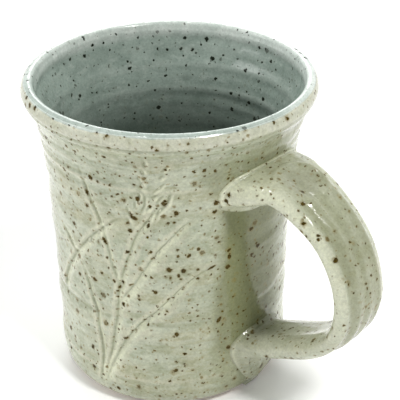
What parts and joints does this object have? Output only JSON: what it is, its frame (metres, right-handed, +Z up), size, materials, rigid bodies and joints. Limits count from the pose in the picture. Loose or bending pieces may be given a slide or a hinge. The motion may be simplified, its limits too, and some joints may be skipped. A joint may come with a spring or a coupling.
{
  "type": "stoneware mug",
  "caption": "Hand-thrown glazed stoneware mug: straight wall, rolled flared lip, flat base and a pulled strap handle.",
  "frame": {"origin": "centre of the flat base, on the surface the mug stands on", "axes": "+Z up along the wall's axis of rotation, +X from the wall towards the handle, +Y to the left when looking from the axis out along the handle"},
  "size_m": [0.1245, 0.092, 0.1022],
  "materials": {
    "stoneware_clay": "bare fired speckled stoneware, matte, slightly gritty",
    "celadon_glaze": "gloss pale cream-green glaze with brown iron speckles",
    "liner_glaze": "gloss grey-green glaze with dark iron speckles"
  },
  "bodies": {
    "root": {"stoneware_body": "stoneware_clay", "handle": "stoneware_clay", "upper_handle_join": "stoneware_clay", "lower_handle_join": "stoneware_clay", "outer_glaze": "celadon_glaze", "handle_glaze": "celadon_glaze", "liner_glaze": "liner_glaze"}
  },
  "joints": []
}
